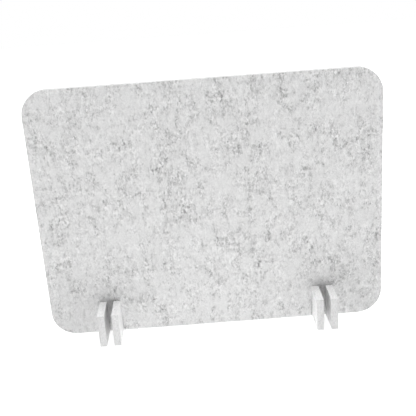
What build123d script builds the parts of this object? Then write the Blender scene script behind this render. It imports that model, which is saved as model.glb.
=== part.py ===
"""Freestanding acoustic desk divider, cut from stiff felt board.

One upright panel with rounded corners stands in four identical slotted feet, two near each end.
Panel and foot cross in a halving joint: the panel has a slot up from its bottom edge, the foot has
a slot down from its top, and each takes the other's board thickness. The slot roofs and floors meet,
so the panel's bottom edge and the feet's bases stand on the desk together.

Millimetres. +X runs along the panel, +Y from front to back, +Z up. The origin is on the desk, under
the middle of the panel.
"""

from build123d import *
import os

# Panel
panel_width = 609.6
panel_height = 457.2
panel_thickness = 12.7
panel_corner_radius = 44.5
panel_edge_radius = 1.0

# Feet
foot_length = 127.0
foot_height = 61.0
foot_thickness = 12.7
foot_corner_radius = 1.6
foot_edge_radius = 0.8
foot_slot_depth = 30.5

# Where the feet stand: two to a pair, a pair near each end of the panel
foot_pair_inset = 110.0
foot_pair_pitch = 25.4

# Fits
slot_side_clearance = 0.1
slot_overrun = 2.0

# What follows from these sizes
panel_slot_width = foot_thickness + 2 * slot_side_clearance
panel_slot_height = foot_height - foot_slot_depth
foot_slot_width = panel_thickness + 2 * slot_side_clearance
pair_centre = panel_width / 2 - foot_pair_inset
outer_foot_x = pair_centre + foot_pair_pitch / 2
inner_foot_x = pair_centre - foot_pair_pitch / 2
foot_places = {
    "foot_left_outer": -outer_foot_x,
    "foot_left_inner": -inner_foot_x,
    "foot_right_inner": inner_foot_x,
    "foot_right_outer": outer_foot_x,
}


def make_panel():
    """The upright board: rounded corners, a slot up from the bottom edge for each foot, softened edges."""
    with BuildPart() as panel:
        with BuildSketch(Plane.XZ) as outline:
            with Locations((0, panel_height / 2)):
                Rectangle(panel_width, panel_height)
            fillet(outline.vertices(), radius=panel_corner_radius)
            with Locations([(x, -slot_overrun) for x in foot_places.values()]):
                Rectangle(
                    panel_slot_width,
                    panel_slot_height + slot_overrun,
                    align=(Align.CENTER, Align.MIN),
                    mode=Mode.SUBTRACT,
                )
        extrude(amount=panel_thickness / 2, both=True)
        broad_faces = panel.faces().filter_by(Axis.Y)
        fillet(broad_faces.edges(), radius=panel_edge_radius)
    return panel


def make_foot(centre_x):
    """One foot: a low upright board across the panel, with a slot down from its top that the panel drops into."""
    with BuildPart() as foot:
        with BuildSketch(Plane.YZ.offset(centre_x)) as profile:
            Rectangle(foot_length, foot_height, align=(Align.CENTER, Align.MIN))
            fillet(profile.vertices(), radius=foot_corner_radius)
            with Locations((0, foot_height - foot_slot_depth)):
                Rectangle(
                    foot_slot_width,
                    foot_slot_depth + slot_overrun,
                    align=(Align.CENTER, Align.MIN),
                    mode=Mode.SUBTRACT,
                )
        extrude(amount=foot_thickness / 2, both=True)
        broad_faces = foot.faces().filter_by(Axis.X)
        fillet(broad_faces.edges(), radius=foot_edge_radius)
    return foot


os.makedirs("parts", exist_ok=True)

screen_panel = make_panel()
screen_panel.part.label = "screen_panel"
export_step(screen_panel.part, "parts/screen_panel.step")

for foot_name, foot_x in foot_places.items():
    slotted_foot = make_foot(foot_x)
    slotted_foot.part.label = foot_name
    export_step(slotted_foot.part, f"parts/{foot_name}.step")
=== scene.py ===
# %% [markdown]
# A felt desk divider, dressed for its picture
#
# The real thing is one stiff felt board, about 610 mm long and 457 mm tall, that stands in four small feet
# cut from the same board. There is nothing else to it: no frame, no screws, no trim. So all of its looks
# are in the felt. We rebuild each board with its softened rims, its uneven needle-punched faces and its
# layered cut edges, give the felt its dark and pale fibres, and light it as a packshot on white.

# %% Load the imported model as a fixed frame
import math

import bpy
import numpy as np
from mathutils import Matrix, Vector, noise


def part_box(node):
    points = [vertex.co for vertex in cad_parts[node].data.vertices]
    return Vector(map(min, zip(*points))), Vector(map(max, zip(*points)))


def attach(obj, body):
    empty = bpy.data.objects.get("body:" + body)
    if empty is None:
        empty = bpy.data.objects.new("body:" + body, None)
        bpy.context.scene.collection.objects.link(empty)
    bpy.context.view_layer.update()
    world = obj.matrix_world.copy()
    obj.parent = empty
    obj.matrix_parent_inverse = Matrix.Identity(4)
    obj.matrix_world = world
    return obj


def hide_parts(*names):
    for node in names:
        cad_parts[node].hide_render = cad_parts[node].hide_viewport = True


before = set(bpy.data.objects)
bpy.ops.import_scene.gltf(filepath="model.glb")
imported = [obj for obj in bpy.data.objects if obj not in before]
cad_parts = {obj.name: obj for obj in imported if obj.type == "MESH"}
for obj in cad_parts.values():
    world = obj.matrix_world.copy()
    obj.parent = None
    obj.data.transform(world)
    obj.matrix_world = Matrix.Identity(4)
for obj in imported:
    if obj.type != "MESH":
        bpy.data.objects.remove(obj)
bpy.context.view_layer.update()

print("nodes in the frame:", sorted(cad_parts))

# %% [markdown]
# Where the camera stands
#
# The photo shows the screen from the front, from about 20 degrees above, with the camera turned a little
# about its own axis, so that level edges climb to the right. These values come from fitting a pinhole
# camera to the measured edges of the board. A focal length in pixels becomes a lens in millimetres
# through the sensor's width.

# %% Set up the camera
PHOTO_PIXELS = 416
FOCAL_PIXELS = 771.9
SENSOR_WIDTH = 36.0
CAMERA_PLACE = Vector((-0.0155, -1.2817, 0.6955))
CAMERA_YAW, CAMERA_PITCH, CAMERA_ROLL = 0.0093, 0.3511, 0.0715
QUARTER_TURN = math.pi / 2


def set_camera():
    """A camera at the photo's place, looking down at the board, with the photo's slight roll."""
    data = bpy.data.cameras.new("photo_camera")
    data.sensor_width = SENSOR_WIDTH
    data.lens = SENSOR_WIDTH * FOCAL_PIXELS / PHOTO_PIXELS
    camera = bpy.data.objects.new("photo_camera", data)
    bpy.context.scene.collection.objects.link(camera)
    aim = Matrix.Rotation(-CAMERA_YAW, 4, "Z") @ Matrix.Rotation(QUARTER_TURN - CAMERA_PITCH, 4, "X")
    camera.matrix_world = Matrix.Translation(CAMERA_PLACE) @ aim @ Matrix.Rotation(-CAMERA_ROLL, 4, "Z")
    bpy.context.scene.camera = camera
    return camera


camera = set_camera()
bpy.context.scene.view_settings.view_transform = "Standard"
print("lens in mm:", round(camera.data.lens, 2))

# %% [markdown]
# Reading sizes off the frame
#
# The CAD model owns every size. Each board's length, height and thickness come from its node's box, and
# the slots follow from how the boards cross: a foot fills the panel's slot, and the panel fills the
# foot's slot, each with the same small clearance. Only what a box can't tell is written here.

# %% Board sizes
FOOT_BODIES = {
    "foot_left_outer": "left_outer_foot",
    "foot_left_inner": "left_inner_foot",
    "foot_right_inner": "right_inner_foot",
    "foot_right_outer": "right_outer_foot",
}
PANEL_CORNER_RADIUS = 0.0445
FOOT_CORNER_RADIUS = 0.0016
SLOT_CLEARANCE = 0.0001
MILLIMETRES = 1000


def in_mm(sizes):
    """Sizes in millimetres, rounded for printing."""
    return [round(MILLIMETRES * size, 1) for size in sizes]


panel_low, panel_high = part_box("screen_panel")
foot_low, foot_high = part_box("foot_left_outer")
panel_length, board_thickness, panel_height = panel_high - panel_low
foot_thickness, foot_length, foot_height = foot_high - foot_low
foot_middles = {name: sum(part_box(name), Vector()).x / 2 for name in FOOT_BODIES}
slot_meeting = foot_height / 2
print("panel", in_mm((panel_length, board_thickness, panel_height)), "mm")
print("foot", in_mm((foot_thickness, foot_length, foot_height)), "mm")
print("feet stand at x =", in_mm(foot_middles.values()), "mm")

# %% [markdown]
# Cutting a board from a fine grid
#
# A cube with rounded edges would give a board's outline, but no vertices to press the felt's unevenness
# into. So a board starts as a fine grid, standing upright. The grid's lines nearest to a slot are moved
# onto the slot's sides, and the corners of the grid are drawn in onto arcs. Faces inside the slots are
# deleted, which leaves the board's outline, ready to be given its thickness.

# %% Helpers for selecting
def only(piece):
    """Makes this the one selected object, and the active one."""
    bpy.ops.object.select_all(action="DESELECT")
    piece.select_set(True)
    bpy.context.view_layer.objects.active = piece


def edit(piece, kind):
    """Leaves the piece with nothing selected, ready to pick vertices, edges or faces."""
    only(piece)
    bpy.ops.object.mode_set(mode="EDIT")
    bpy.ops.mesh.select_mode(type=kind)
    bpy.ops.mesh.select_all(action="DESELECT")
    bpy.ops.object.mode_set(mode="OBJECT")


# %% Helpers for moving many vertices at once
def places(mesh):
    """All vertex places as an array with a row for each."""
    found = np.empty(len(mesh.vertices) * 3, np.float32)
    mesh.vertices.foreach_get("co", found)
    return found.reshape(-1, 3).astype(float)


def put_places(mesh, rows):
    """Gives the vertices the places in these rows."""
    mesh.vertices.foreach_set("co", rows.astype(np.float32).ravel())
    mesh.update()


# %% Helpers for the outline
MICROMETRE_DIGITS = 6
SAME_LINE_SHARE = 0.1


def snap(values, line, cell):
    """Moves the grid line that is nearest to the wanted line onto it."""
    lines = np.unique(np.round(values, MICROMETRE_DIGITS))
    nearest = lines[np.argmin(abs(lines - line))]
    values[abs(values - nearest) < cell * SAME_LINE_SHARE] = line


def round_corners(rows, length, height, radius):
    """Draws the four square corners of the grid in, so that their outline falls on arcs."""
    middle = height / 2
    across = abs(rows[:, 0]) - (length / 2 - radius)
    up = abs(rows[:, 2] - middle) - (middle - radius)
    there = (across > 0) & (up > 0)
    share = np.maximum(across, up)[there] / np.hypot(across, up)[there]
    rows[there, 0] = np.sign(rows[there, 0]) * (length / 2 - radius + across[there] * share)
    rows[there, 2] = middle + np.sign(rows[there, 2] - middle) * (middle - radius + up[there] * share)


def in_slot(x, z, slots, reach=0.0):
    """Whether a place on the board lies in one of its slots, or within reach of one."""
    return any(
        low_x - reach < x < high_x + reach and low_z < z < high_z + reach
        for low_x, high_x, low_z, high_z in slots
    )


# %% The upright grid
def upright_grid(name, length, height, radius, slots, cell):
    """A flat grid in the XZ plane, standing on z = 0, with its slots cut out.

    Each slot is (low x, high x, low z, high z).
    """
    bpy.ops.object.select_all(action="DESELECT")
    bpy.ops.mesh.primitive_grid_add(
        size=1, x_subdivisions=round(length / cell), y_subdivisions=round(height / cell),
        rotation=(QUARTER_TURN, 0, 0), location=(0, 0, height / 2),
    )
    board = bpy.context.active_object
    board.name = board.data.name = name
    board.scale = (length, height, 1)
    bpy.ops.object.transform_apply(location=True, rotation=True, scale=True)
    rows = places(board.data)
    for low_x, high_x, low_z, high_z in slots:
        for line in (low_x, high_x):
            snap(rows[:, 0], line, cell)
        for line in (low_z, high_z):
            snap(rows[:, 2], line, cell)
    round_corners(rows, length, height, radius)
    put_places(board.data, rows)
    edit(board, "FACE")
    for face in board.data.polygons:
        face.select = in_slot(face.center.x, face.center.z, slots)
    bpy.ops.object.mode_set(mode="EDIT")
    bpy.ops.mesh.delete(type="FACE")
    bpy.ops.object.mode_set(mode="OBJECT")
    return board


# %% [markdown]
# Thickness and softened rims
#
# The knife that cuts such boards leaves their rims soft: the outermost fibres give way, and the edge
# turns over a radius of about a millimetre. Extruding the grid gives the board its thickness. Cuts
# parallel to its faces then divide the edge into layers, which can be pressed in like the faces. A bevel
# rounds the rims last, and reads a weight on each edge. Where a slot grips the board that crosses it, the
# rims stay sharper, or a dark slit would open between the two.

# %% Thickness in layers
LAYERS = 9
MERGE_REACH = 1e-6


def thicken(board, thickness):
    """Extrudes the grid to a solid board about y = 0, and cuts its edge into layers."""
    edit(board, "FACE")
    bpy.ops.object.mode_set(mode="EDIT")
    bpy.ops.mesh.select_all(action="SELECT")
    bpy.ops.transform.translate(value=(0, -thickness / 2, 0))
    bpy.ops.mesh.extrude_region_move(TRANSFORM_OT_translate={"value": (0, thickness, 0)})
    for step in range(1, LAYERS):
        y = thickness * (step / LAYERS - 0.5)
        bpy.ops.mesh.select_all(action="SELECT")
        bpy.ops.mesh.bisect(plane_co=(0, y, 0), plane_no=(0, 1, 0))
    bpy.ops.mesh.select_all(action="SELECT")
    bpy.ops.mesh.remove_doubles(threshold=MERGE_REACH)
    bpy.ops.mesh.normals_make_consistent(inside=False)
    bpy.ops.object.mode_set(mode="OBJECT")


# %% Rims
RIM_STEPS = 3
SLOT_RIM_SHARE = 0.35
SLOT_REACH = 0.0001
ON_A_FACE = 0.9


def round_rims(board, rim, slots):
    """Bevels every edge between a face of the board and its cut edge, less so in a slot."""
    mesh = board.data
    sides = {}
    for face in mesh.polygons:
        for key in face.edge_keys:
            sides.setdefault(key, []).append(abs(face.normal.y) > ON_A_FACE)
    weights = mesh.attributes.new("bevel_weight_edge", "FLOAT", "EDGE")
    for edge in mesh.edges:
        if sorted(sides[edge.key]) == [False, True]:
            ends = [mesh.vertices[index].co for index in edge.vertices]
            x, _, z = (ends[0] + ends[1]) / 2
            weights.data[edge.index].value = SLOT_RIM_SHARE if in_slot(x, z, slots, SLOT_REACH) else 1.0
    bevel = board.modifiers.new("rims", "BEVEL")
    bevel.limit_method = "WEIGHT"
    bevel.width = rim
    bevel.segments = RIM_STEPS
    only(board)
    bpy.ops.object.modifier_apply(modifier=bevel.name)


# %% [markdown]
# Pressing the felt's unevenness in
#
# A needle-punched board is never quite flat: it has shallow dips where more needles went in, and its cut
# edge shows the layers of fibre that it was laid up from. Both are pressed into the mesh, always inwards,
# so that the board stays inside its CAD solid and still slides in its slots. Moving each vertex against
# its normal by a noise does it in one pass, and unlike a bump it also changes the board's outline.

# %% Relief
DIP_SIZE, DIP_DEPTH = 0.011, 0.00022
PIT_SIZE, PIT_DEPTH = 0.0042, 0.00012
LAYER_PITCH, LAYER_RUN, LAYER_DEPTH = 0.0016, 0.03, 0.0003
SMOOTH_ANGLE = 50


def relief(place, normal):
    """How far the felt dips at a place, in metres: broad dips and small pits, and layers on a cut edge."""
    dips = abs(noise.noise(place / DIP_SIZE)) * DIP_DEPTH
    pits = abs(noise.noise(place / PIT_SIZE)) * PIT_DEPTH
    cut = 1 - abs(normal.y)
    along = Vector(((place.x + place.z) / LAYER_RUN, place.y / LAYER_PITCH, 0))
    layers = abs(noise.noise(along)) * LAYER_DEPTH * cut
    return dips + pits + layers


def press_relief(board):
    """Presses the relief into every vertex, and smooths the shading over all but real corners."""
    mesh = board.data
    moved = [v.co - v.normal * relief(v.co, v.normal) for v in mesh.vertices]
    put_places(mesh, np.array([tuple(co) for co in moved]))
    only(board)
    bpy.ops.object.shade_smooth_by_angle(angle=math.radians(SMOOTH_ANGLE))


# %% [markdown]
# The panel
#
# It is by far the larger board, so its grid is coarser than the feet's. Its slots open at the bottom
# edge and end where the feet's slots begin, at half of a foot's height.

# %% Cut the panel
PANEL_CELL = 0.0032
PANEL_RIM = 0.0009
slot_half = foot_thickness / 2 + SLOT_CLEARANCE
panel_slots = [(x - slot_half, x + slot_half, 0, slot_meeting) for x in foot_middles.values()]

felt_panel = upright_grid(
    "felt_panel", panel_length, panel_height, PANEL_CORNER_RADIUS, panel_slots, PANEL_CELL
)
thicken(felt_panel, board_thickness)
round_rims(felt_panel, PANEL_RIM, panel_slots)
press_relief(felt_panel)
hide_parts("screen_panel")
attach(felt_panel, "panel")
print("felt_panel has", len(felt_panel.data.polygons), "faces")

# %% [markdown]
# The feet
#
# A foot is the same board, cut small. It is modelled once, upright in front of us, and its copies are
# turned to cross the panel. Turning the mesh and not the object keeps every object at the origin.

# %% Cut a foot and place its copies
FOOT_CELL = 0.0013
FOOT_RIM = 0.0009
foot_slot_half = board_thickness / 2 + SLOT_CLEARANCE
foot_slot = (-foot_slot_half, foot_slot_half, slot_meeting, foot_height)

pattern_foot = upright_grid(
    "pattern_foot", foot_length, foot_height, FOOT_CORNER_RADIUS, [foot_slot], FOOT_CELL
)
thicken(pattern_foot, foot_thickness)
round_rims(pattern_foot, FOOT_RIM, [foot_slot])
press_relief(pattern_foot)
crossing = Matrix.Rotation(QUARTER_TURN, 4, "Z")
felt_feet = []
for name, body in FOOT_BODIES.items():
    foot = pattern_foot.copy()
    foot.data = pattern_foot.data.copy()
    foot.name = foot.data.name = "felt_" + name
    foot.data.transform(Matrix.Translation((foot_middles[name], 0, 0)) @ crossing)
    bpy.context.scene.collection.objects.link(foot)
    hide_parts(name)
    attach(foot, body)
    felt_feet.append(foot)
bpy.data.objects.remove(pattern_foot)
print(len(felt_feet), "feet with", len(foot.data.polygons), "faces each")

# %% [markdown]
# Writing shaders as sums
#
# A felt pattern is arithmetic on noise. With one small class that stands for a socket, the arithmetic
# reads like Python: each operator adds a Math node, and numbers may stand on either side. A second class
# holds the nodes of one material, or of the world, and adds any other kind of node.

# %% A socket that can be added and multiplied
class Wool:
    """A shader socket that takes part in sums."""

    def __init__(self, recipe, socket):
        self.recipe = recipe
        self.socket = socket

    def maths(self, operation, *others):
        """A Math node with this socket first."""
        return self.recipe.node("ShaderNodeMath", {"operation": operation}, self, *others)

    def __add__(self, other):
        return self.maths("ADD", other)

    def __sub__(self, other):
        return self.maths("SUBTRACT", other)

    def __rsub__(self, other):
        return self.recipe.node("ShaderNodeMath", {"operation": "SUBTRACT"}, other, self)

    def __mul__(self, other):
        return self.maths("MULTIPLY", other)

    def __truediv__(self, other):
        return self.maths("DIVIDE", other)

    def __abs__(self):
        return self.maths("ABSOLUTE")

    __radd__ = __add__
    __rmul__ = __mul__

    def rise(self, low, high):
        """0 below low, 1 above high, and a smooth climb between. With low above high it falls."""
        return self.recipe.node(
            "ShaderNodeMapRange", {"interpolation_type": "SMOOTHSTEP"}, self, low, high, 0.0, 1.0
        )

    def clamped(self):
        """The same value, kept between 0 and 1."""
        return self.recipe.node("ShaderNodeClamp", {}, self, 0.0, 1.0)


# %% A recipe: one material and its nodes
class Recipe:
    """A material or world under construction, with its nodes."""

    def __init__(self, finish):
        finish.use_nodes = True
        self.finish = finish
        self.tree = finish.node_tree
        self.tree.nodes.clear()

    def node(self, kind, settings, *inputs, output=0, **named):
        """Adds a node: its settings, then its inputs in order, or by name with _ for each space."""
        made = self.tree.nodes.new(kind)
        for key, value in settings.items():
            setattr(made, key, value)
        pairs = list(zip(made.inputs, inputs))
        pairs += [(made.inputs[key.replace("_", " ")], value) for key, value in named.items()]
        for socket, value in pairs:
            if isinstance(value, Wool):
                self.tree.links.new(value.socket, socket)
            else:
                socket.default_value = value
        self.made = made
        return Wool(self, made.outputs[output])

    def also(self, output):
        """Another output of the node made last."""
        return Wool(self, self.made.outputs[output])

    def wear(self, surface, kind="ShaderNodeOutputMaterial"):
        """Makes this shader the surface that shows."""
        out = self.tree.nodes.new(kind)
        self.tree.links.new(surface.socket, out.inputs["Surface"])


# %% [markdown]
# Laying the pattern on a board
#
# Felt isn't printed, but its pattern still lies along the board, up it and, on a cut edge, through it.
# The board's own Object coordinates say where a point is, in metres, and are scaled to millimetres, so
# that every size below can be compared with the real felt. A UV map would serve too, but it would have
# to be unwrapped round every rim. The feet's meshes were turned, and the same turn is undone here.

# %% Where the pattern sits on a board
UP_SHIFT = 0.37


def board_plane(recipe, turn):
    """The felt's own coordinates in millimetres: along the board, up it, and through its thickness."""
    place = recipe.node("ShaderNodeTexCoord", {}, output="Object")
    scale = (MILLIMETRES, MILLIMETRES, MILLIMETRES)
    turned = recipe.node("ShaderNodeMapping", {}, place, Rotation=(0, 0, turn), Scale=scale)
    recipe.node("ShaderNodeSeparateXYZ", {}, turned)
    return recipe.also("X"), recipe.also("Z"), recipe.also("Y")


def on_plane(recipe, across, up, shift=0.0):
    """A place on the face. A shift moves it away, so that two patterns don't match each other."""
    return recipe.node("ShaderNodeCombineXYZ", {}, across + shift, up + UP_SHIFT * shift, 0.0)


def mottle(recipe, place, size, detail=2.0, roughness=0.5, space="2D"):
    """Soft noise from 0 to 1 with patches of about this size in millimetres.

    Detail says how many finer noises lie on it, and roughness how much each of them counts. A face takes
    a noise in two dimensions, and a cut edge one in three.
    """
    kind = {"noise_dimensions": space}
    return recipe.node("ShaderNodeTexNoise", kind, place, Scale=1 / size, Detail=detail, Roughness=roughness)


# %% [markdown]
# Threads and curls
#
# The board is punched from pale fibres with some charcoal ones among them. From arm's length, fibres that
# lie together show as small hooks, rings and specks. A soft noise passes through its middle value along
# thin, wandering lines, which make good stray threads once another noise breaks them up. A Voronoi texture
# scatters centres over the face, and part of a ring about each centre makes a curl. Drawing them as curves
# would take tens of thousands of objects for something a millimetre wide.

# %% Stray threads
NOISE_MIDDLE = 0.5
THREAD_EDGE, THREAD_DETAIL = 0.2, 1.6
THREAD_GAPS = (0.46, 0.56)
THREAD_GAP_SHIFT, THREAD_GAP_SIZE, THREAD_GAP_DETAIL = 57.0, 0.8, 1.0


def threads(recipe, across, up, size, width, shift):
    """Wandering lines of fibre, broken into short lengths, as a mask from 0 to 1."""
    field = mottle(recipe, on_plane(recipe, across, up, shift), size, THREAD_DETAIL)
    line = 1 - (abs(field - NOISE_MIDDLE) * (size / width)).rise(THREAD_EDGE, 1.0)
    gap_plane = on_plane(recipe, across, up, shift + THREAD_GAP_SHIFT)
    lengths = mottle(recipe, gap_plane, THREAD_GAP_SIZE * size, THREAD_GAP_DETAIL)
    return line * lengths.rise(*THREAD_GAPS)


# %% Curls
CURL_EDGE = 0.35
SMALLEST_RING, RING_SPREAD = 0.12, 0.38
ARC_START, ARC_END, ARC_SPREAD = -0.5, 0.1, 0.9
FULL_TURN = 2 * math.pi
CENTRE_GUARD = 0.01


def curls(recipe, across, up, cell, width, shift):
    """Arcs of fibre, one for each Voronoi cell, as a mask from 0 to 1.

    The guard keeps the very centre of a cell from being divided by nothing.
    """
    plane = on_plane(recipe, across, up, shift)
    recipe.node("ShaderNodeTexVoronoi", {"voronoi_dimensions": "2D"}, plane, Scale=1 / cell)
    distance, chance, centre = recipe.also("Distance"), recipe.also("Color"), recipe.also("Position")
    recipe.node("ShaderNodeSeparateColor", {}, chance)
    first, second, third = recipe.also(0), recipe.also(1), recipe.also(2)
    radius = SMALLEST_RING + RING_SPREAD * first
    ring = 1 - (abs(distance - radius) * cell).rise(CURL_EDGE * width, width)
    away = recipe.node("ShaderNodeVectorMath", {"operation": "SUBTRACT"}, plane, centre)
    angle = second * FULL_TURN
    side = recipe.node("ShaderNodeCombineXYZ", {}, angle.maths("COSINE"), angle.maths("SINE"), 0.0)
    facing = recipe.node("ShaderNodeVectorMath", {"operation": "DOT_PRODUCT"}, away, side, output="Value")
    reach = facing / (distance * cell + CENTRE_GUARD)
    return ring * reach.rise(ARC_START + ARC_SPREAD * third, ARC_END + ARC_SPREAD * third)


# %% [markdown]
# Single fibres
#
# Closer by, the face is a web of single fibres that cross in all directions, and a cut edge shows them end
# on, in thin layers. Noise that is stretched a lot one way looks like hairs lying that way, so a few such
# noises are heaped up, each lying differently, and one soft noise bends them all. The web is written about
# 0, because it lightens some places and darkens others, but must not change how grey the felt is.

# %% The web of fibres
FIBRE_LIES = [0.15, 0.85, 1.45, 2.05, 2.75]
FIBRE_WIDTH, FIBRE_LENGTH = 0.36, 6.5
FIBRE_BEND, FIBRE_BEND_SIZE, FIBRE_BEND_SHIFT = 2.6, 7.0, 211.0
FIBRE_STEP, FIBRE_DETAIL = 17.0, 1.0
FIBRE_RISE = (0.52, 0.70)
FIBRE_SHARE, FIBRE_MIDDLE = 0.42, 0.40


def single_fibres(recipe, across, up):
    """Fine fibres that cross in all directions, below 0 in the gaps between them and above 0 on them."""
    bend_plane = on_plane(recipe, across, up, FIBRE_BEND_SHIFT)
    bend = (mottle(recipe, bend_plane, FIBRE_BEND_SIZE, FIBRE_DETAIL) - NOISE_MIDDLE) * FIBRE_BEND
    heap = 0.0
    for index, lie in enumerate(FIBRE_LIES):
        along = across * math.cos(lie) + up * math.sin(lie) + FIBRE_STEP * index
        aside = up * math.cos(lie) - across * math.sin(lie) + bend
        run = recipe.node("ShaderNodeCombineXYZ", {}, along / FIBRE_LENGTH, aside / FIBRE_WIDTH, 0.0)
        heap = heap + mottle(recipe, run, 1, FIBRE_DETAIL).rise(*FIBRE_RISE)
    return (heap * FIBRE_SHARE).clamped() - FIBRE_MIDDLE


# %% Fibres on a cut edge
CUT_LENGTH, CUT_LAYER = 4.0, 0.45
CUT_DETAIL, CUT_ROUGHNESS = 2.0, 0.6
CUT_RISE, CUT_MIDDLE = (0.38, 0.66), 0.42


def cut_fibres(recipe, across, up, through):
    """The ends and sides of cut fibres, which lie in thin layers along the board, about 0."""
    run = recipe.node("ShaderNodeCombineXYZ", {}, across / CUT_LENGTH, up / CUT_LENGTH, through / CUT_LAYER)
    return mottle(recipe, run, 1, CUT_DETAIL, CUT_ROUGHNESS, "3D").rise(*CUT_RISE) - CUT_MIDDLE


# %% [markdown]
# How dark the face is
#
# Dark fibres aren't spread evenly. The carded web leaves clouds about a hand wide, tufts a finger wide
# within them and drifts that run through them, and this crowding sets how many dark threads show. Pale
# threads are drawn in the same way and taken off, because darker ground has lighter hooks on it too. All
# of it is read at less than its true height, so that it comes out drawn upwards, the way the web was laid.
# Each board is cut from some stretch of a long roll, and ours is one whose clouds lie much as in the photo.

# %% Dark and pale threads together
THREADS = [(4.6, 1.1), (7.5, 1.1), (12.0, 1.2), (20.0, 1.3)]
CURLS = [(8.5, 1.1), (6.2, 1.0), (11.5, 1.2)]
THREAD_STEP, CURL_STEP = 23.1, 31.7


def drawn_fibres(recipe, across, up, shift):
    """All threads and curls of one colour, added up."""
    drawn = 0.0
    for index, (size, width) in enumerate(THREADS):
        drawn = drawn + threads(recipe, across, up, size, width, shift + THREAD_STEP * (index + 1))
    for index, (cell, width) in enumerate(CURLS):
        drawn = drawn + curls(recipe, across, up, cell, width, shift + CURL_STEP * (index + 1))
    return drawn


# %% Where they crowd
# Each noise is given by its size in millimetres, its detail and its roughness.
CROWD_BASE = 0.22
CLOUD_NOISE, CLOUD_SHARE = (65.0, 6.0, 0.62), 1.7
TUFT_NOISE, TUFT_SHARE, TUFT_SHIFT = (15.0, 4.0, 0.66), 2.2, 91.0
DRIFT_NOISE, DRIFT_SHARE, DRIFT_SHIFT, DRIFT_WIDTH = (36.0, 3.0, 0.6), 0.5, 143.0, 0.09
DRIFT_GAP_SIZE, DRIFT_GAP_SHIFT, DRIFT_GAPS = 45.0, 171.0, (0.42, 0.56)


def crowding(recipe, across, up):
    """Where dark fibres crowd together, from 0 to 1: clouds, tufts within them and drifts across them."""
    clouds = mottle(recipe, on_plane(recipe, across, up), *CLOUD_NOISE) - NOISE_MIDDLE
    tufts = mottle(recipe, on_plane(recipe, across, up, TUFT_SHIFT), *TUFT_NOISE) - NOISE_MIDDLE
    drift = abs(mottle(recipe, on_plane(recipe, across, up, DRIFT_SHIFT), *DRIFT_NOISE) - NOISE_MIDDLE)
    here = mottle(recipe, on_plane(recipe, across, up, DRIFT_GAP_SHIFT), DRIFT_GAP_SIZE).rise(*DRIFT_GAPS)
    drifts = (1 - drift.rise(0.0, DRIFT_WIDTH)) * here
    return (CROWD_BASE + CLOUD_SHARE * clouds + TUFT_SHARE * tufts + DRIFT_SHARE * drifts).rise(0.0, 1.0)


# %% The shade of a face
STRETCH_ACROSS, STRETCH_UP = 1254.0, 2820.0
DRAWN_UP = 0.62
FACE_SHADE = 0.198
CROWD_SHADE = 0.16
BUSY_NOISE, BUSY_SHIFT, BUSY_RISE = (24.0, 4.0, 0.6), 501.0, (0.35, 0.65)
SOFT_NOISE, SOFT_SHIFT, SOFT_SHARE = (7.0, 3.0, 0.6), 401.0, 0.5
GRAIN_NOISE, GRAIN_SHIFT, GRAIN_SHARE = (2.4, 2.0, 0.75), 13.0, 0.52
STREAK_NOISE, STREAK_SHIFT, STREAK_SHARE, STREAK_DRAWN = (9.0, 4.0, 0.6), 601.0, 0.12, 0.5
DARK_SHARE, PALE_SHARE, PALE_SHIFT = 0.115, 0.08, 311.0
FINE_BASE, FINE_CROWD, FINE_BUSY = 0.12, 0.75, 0.5


def face_shade(recipe, across, up):
    """How dark the face's fibres are, from 0 for pale to 1 for charcoal."""
    across = across + STRETCH_ACROSS
    up = DRAWN_UP * (up + STRETCH_UP)
    crowd = crowding(recipe, across, up)
    busy = mottle(recipe, on_plane(recipe, across, up, BUSY_SHIFT), *BUSY_NOISE).rise(*BUSY_RISE)
    soft = mottle(recipe, on_plane(recipe, across, up, SOFT_SHIFT), *SOFT_NOISE) - NOISE_MIDDLE
    grain = mottle(recipe, on_plane(recipe, across, up, GRAIN_SHIFT), *GRAIN_NOISE) - NOISE_MIDDLE
    streak_plane = on_plane(recipe, across, STREAK_DRAWN * up, STREAK_SHIFT)
    streaks = mottle(recipe, streak_plane, *STREAK_NOISE) - NOISE_MIDDLE
    dark = drawn_fibres(recipe, across, up, 0.0)
    pale = drawn_fibres(recipe, across, up, PALE_SHIFT)
    fine = DARK_SHARE * dark - PALE_SHARE * pale + GRAIN_SHARE * grain + SOFT_SHARE * soft
    how_fine = FINE_BASE + FINE_CROWD * crowd + FINE_BUSY * busy
    return FACE_SHADE + CROWD_SHADE * crowd + how_fine * fine + STREAK_SHARE * streaks


# %% [markdown]
# How dark a cut edge is
#
# A cut edge shows the inside of the board: thin layers of mixed fibre that run with it, quieter than the
# face. The pattern is a noise in all three directions, flattened so that it runs far along the board and
# changes quickly through it. The shader tells edges from faces by which way they look, and that turns
# gradually round a rim, so the one pattern runs over into the other as it does on the real board.

# %% The shade of a cut edge
EDGE_SHADE = 0.225
LAYER_STRETCH, LAYER_NOISE, LAYER_SHARE = 0.06, (2.2, 3.0, 0.6), 0.30
EDGE_GRAIN_NOISE, EDGE_GRAIN_SHARE = (2.4, 3.0, 0.7), 0.25
SPECK_RISE, SPECK_SHARE = (0.52, 0.85), 0.3


def edge_shade(recipe, across, up, through):
    """How dark a cut edge is: faint layers that run with the board, dark specks and a little grain."""
    run = recipe.node("ShaderNodeCombineXYZ", {}, across * LAYER_STRETCH, up * LAYER_STRETCH, through)
    layers = mottle(recipe, run, *LAYER_NOISE, "3D") - NOISE_MIDDLE
    place = recipe.node("ShaderNodeCombineXYZ", {}, across, up, through)
    field = mottle(recipe, place, *EDGE_GRAIN_NOISE, "3D")
    specks = field.rise(*SPECK_RISE)
    grain = field - NOISE_MIDDLE
    return EDGE_SHADE + LAYER_SHARE * layers + SPECK_SHARE * specks + EDGE_GRAIN_SHARE * grain


# %% Telling edges from faces
FACE_FROM, FACE_TO = 0.25, 0.75


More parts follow.
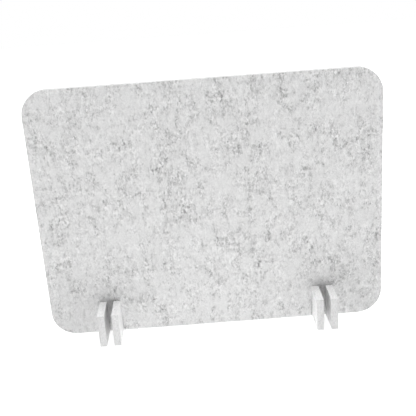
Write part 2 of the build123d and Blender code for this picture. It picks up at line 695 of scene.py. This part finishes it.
def cut_mask(recipe, turn):
    """1 on a board's cut edges and 0 on its two faces."""
    lie = recipe.node("ShaderNodeTexCoord", {}, output="Normal")
    turned = recipe.node("ShaderNodeVectorRotate", {"rotation_type": "Z_AXIS"}, lie, Angle=turn)
    recipe.node("ShaderNodeSeparateXYZ", {}, turned)
    return 1 - abs(recipe.also("Y")).rise(FACE_FROM, FACE_TO)


# %% [markdown]
# The felt itself
#
# The shade picks a grey between a pale fibre and a dark one. A real board's back doesn't repeat its front,
# so each face reads its own stretch of felt, moved along by where the face lies in the thickness. Felt is
# matt, with a faint sheen from its loose fibres, so it gets a high roughness, little specular and a touch
# of sheen. The web of fibres also drives a fine bump. On their small faces the feet show less charcoal, and
# their faces are painted paler as well, a painted highlight for the brighter light that their sides catch.

# %% The felt material
PALE_FIBRE = (0.97, 0.97, 0.97, 1)
DARK_FIBRE = (0.20, 0.20, 0.20, 1)
SIDE_PITCH, SIDE_SHIFT = 5.0, 58.0
WEB_ON_DARK, WEB_ON_PALE = 0.3, 0.2
BUMP_HEIGHT, BUMP_STRENGTH = 0.00025, 0.6
FELT_ROUGHNESS, FELT_SPECULAR = 0.95, 0.1
SHEEN, SHEEN_ROUGHNESS = 0.1, 0.6
MIX_FIRST_COLOUR, MIX_SECOND_COLOUR, MIX_RESULT_COLOUR = 6, 7, 2


def felt(name, turn, marl_and_painted_light):
    """Grey marled felt turned with the board; a last value below 1 pales it, partly as painted highlight."""
    recipe = Recipe(bpy.data.materials.new(name))
    across, up, through = board_plane(recipe, turn)
    cut = cut_mask(recipe, turn)
    side = across + (through / SIDE_PITCH).maths("ROUND") * SIDE_SHIFT
    # On the feet this pales the face: partly less charcoal, partly a painted highlight for their brighter
    # sides.
    face = face_shade(recipe, side, up) * marl_and_painted_light
    edge = edge_shade(recipe, across, up, through)
    shade = face + cut * (edge - face)
    on_face = single_fibres(recipe, side, up)
    on_cut = cut_fibres(recipe, across, up, through)
    fibres = on_face + cut * (on_cut - on_face)
    shade = (shade - fibres * (WEB_ON_DARK * shade + WEB_ON_PALE)).clamped()
    kind = {"data_type": "RGBA"}
    colour = recipe.node("ShaderNodeMix", kind, Factor=shade, output=MIX_RESULT_COLOUR)
    recipe.made.inputs[MIX_FIRST_COLOUR].default_value = PALE_FIBRE
    recipe.made.inputs[MIX_SECOND_COLOUR].default_value = DARK_FIBRE
    bumped = recipe.node("ShaderNodeBump", {}, Strength=BUMP_STRENGTH, Distance=BUMP_HEIGHT, Height=fibres)
    surface = recipe.node(
        "ShaderNodeBsdfPrincipled", {}, Base_Color=colour, Roughness=FELT_ROUGHNESS, Normal=bumped
    )
    recipe.made.inputs["Sheen Weight"].default_value = SHEEN
    recipe.made.inputs["Sheen Roughness"].default_value = SHEEN_ROUGHNESS
    recipe.made.inputs["Specular IOR Level"].default_value = FELT_SPECULAR
    recipe.wear(surface)
    return recipe.finish


# %% Dress the panel and the feet
# The feet's faces are painted paler than the panel's: they show less charcoal, and the paling also stands in
# for the brighter light on their sides, a painted highlight.
PANEL_MARL, FOOT_MARL_AND_PAINTED_LIGHT = 1.0, 0.7

panel_felt = felt("panel_felt", 0.0, PANEL_MARL)
foot_felt = felt("foot_felt", QUARTER_TURN, FOOT_MARL_AND_PAINTED_LIGHT)
felt_panel.data.materials.append(panel_felt)
for foot in felt_feet:
    foot.data.materials.append(foot_felt)
print("materials:", panel_felt.name, foot_felt.name, "with", len(panel_felt.node_tree.nodes), "nodes each")

# %% [markdown]
# A white sheet without a horizon
#
# The photo's background is pure white. A studio gets there by lighting the sheet until it burns out, but
# that floods the object too. Here the paper glows a little for the object, and for the rays that show the
# background a second glow tops it up to white instead. Those are rays from the camera, off gloss and
# through something clear. Close to the screen the top-up is smaller, so the paper's own light counts more
# there and the feet keep their faint shadows. What the object gets is a little stronger in the middle,
# because in the photo the panel is palest at its bottom, between the two pairs of feet. The world beyond
# the sheet is seen as white too, and gives the object hardly any light.

# %% Rays that show the background
def seen_ray(recipe):
    """1 for a ray that shows the background: from the camera, off gloss or through something clear."""
    camera_ray = recipe.node("ShaderNodeLightPath", {}, output="Is Camera Ray")
    glossy_ray, clear_ray = recipe.also("Is Glossy Ray"), recipe.also("Is Transmission Ray")
    return (camera_ray + glossy_ray + clear_ray).clamped()


# %% The floor
FLOOR_SIZE = 8.0
FLOOR_COLOUR = (0.80, 0.80, 0.80, 1)
FLOOR_GLOW = 0.69
MIDDLE_GLOW, MIDDLE_REACH = 0.23, (0.12, 0.24)
NEAR_LIFT, FAR_LIFT = 0.40, 1.0
NEAR_REACH, FAR_REACH = 0.21, 0.33
WHITE = (1, 1, 1, 1)


def set_floor():
    """A large sheet of white paper that the screen stands on."""
    bpy.ops.object.select_all(action="DESELECT")
    bpy.ops.mesh.primitive_plane_add(size=FLOOR_SIZE)
    floor = bpy.context.active_object
    floor.name = "studio_floor"
    recipe = Recipe(bpy.data.materials.new("floor_paper"))
    seen = seen_ray(recipe)
    place = recipe.node("ShaderNodeTexCoord", {}, output="Object")
    reach = recipe.node("ShaderNodeVectorMath", {"operation": "LENGTH"}, place, output="Value")
    lift = NEAR_LIFT + reach.rise(NEAR_REACH, FAR_REACH) * (FAR_LIFT - NEAR_LIFT)
    unseen = FLOOR_GLOW + MIDDLE_GLOW * (1 - reach.rise(*MIDDLE_REACH))
    strength = unseen + seen * (lift - unseen)
    paper = recipe.node("ShaderNodeBsdfDiffuse", {}, FLOOR_COLOUR)
    glow = recipe.node("ShaderNodeEmission", {}, WHITE, strength)
    recipe.wear(recipe.node("ShaderNodeAddShader", {}, paper, glow))
    floor.data.materials.append(recipe.finish)


set_floor()
print("the sheet is", FLOOR_SIZE, "m wide")

# %% The world
WORLD_STRENGTH = 0.02


def set_world():
    """A faint even light that is seen as white."""
    recipe = Recipe(bpy.data.worlds.new("studio_world"))
    strength = WORLD_STRENGTH + seen_ray(recipe) * (1 - WORLD_STRENGTH)
    recipe.wear(recipe.node("ShaderNodeBackground", {}, WHITE, strength), "ShaderNodeOutputWorld")
    bpy.context.scene.world = recipe.finish
    return recipe.finish


print("world:", set_world().name)

# %% [markdown]
# Softboxes
#
# In the photo the gap between two feet is dark at its top and light at its foot, and the panel is darker
# just above each pair. So much of the light came up from the table. One softbox hangs straight above the
# screen, and a large one stands at each side. Two more lie on the table, in front and behind, where a
# photographer puts reflecting boards, and they are hidden from the camera. Each strength comes from
# comparing the greys of the faces, rims, feet and gaps with those in the photo, one lamp at a time.

# %% The lights
MIDDLE = (0, 0, 0.2)
LAMPS = {
    "overhead": ((0, 0, 4.0), MIDDLE, (1.4, 1.4), 142),
    "left_side": ((-2.4, -0.5, 0.9), MIDDLE, (2.4, 1.8), 15),
    "right_side": ((2.4, -0.5, 0.9), MIDDLE, (2.4, 1.8), 15),
    "front_table": ((0, -0.95, 0.01), (0, -0.95, 1), (2.4, 1.2), 5.2),
    "back_table": ((0, 0.95, 0.01), (0, 0.95, 1), (2.4, 1.2), 4.6),
}
HIDDEN = ("front_table", "back_table")


def soft_box(name, place, target, size, power):
    """A softbox, size wide and tall, that faces its target. A hidden one lights things but isn't seen."""
    data = bpy.data.lights.new(name, "AREA")
    data.shape = "RECTANGLE"
    data.size, data.size_y = size
    data.energy = power
    lamp = bpy.data.objects.new(name, data)
    lamp.location = place
    lamp.rotation_euler = (Vector(target) - Vector(place)).to_track_quat("-Z", "Y").to_euler()
    lamp.visible_camera = name not in HIDDEN
    bpy.context.scene.collection.objects.link(lamp)


for name, settings in LAMPS.items():
    soft_box(name, *settings)
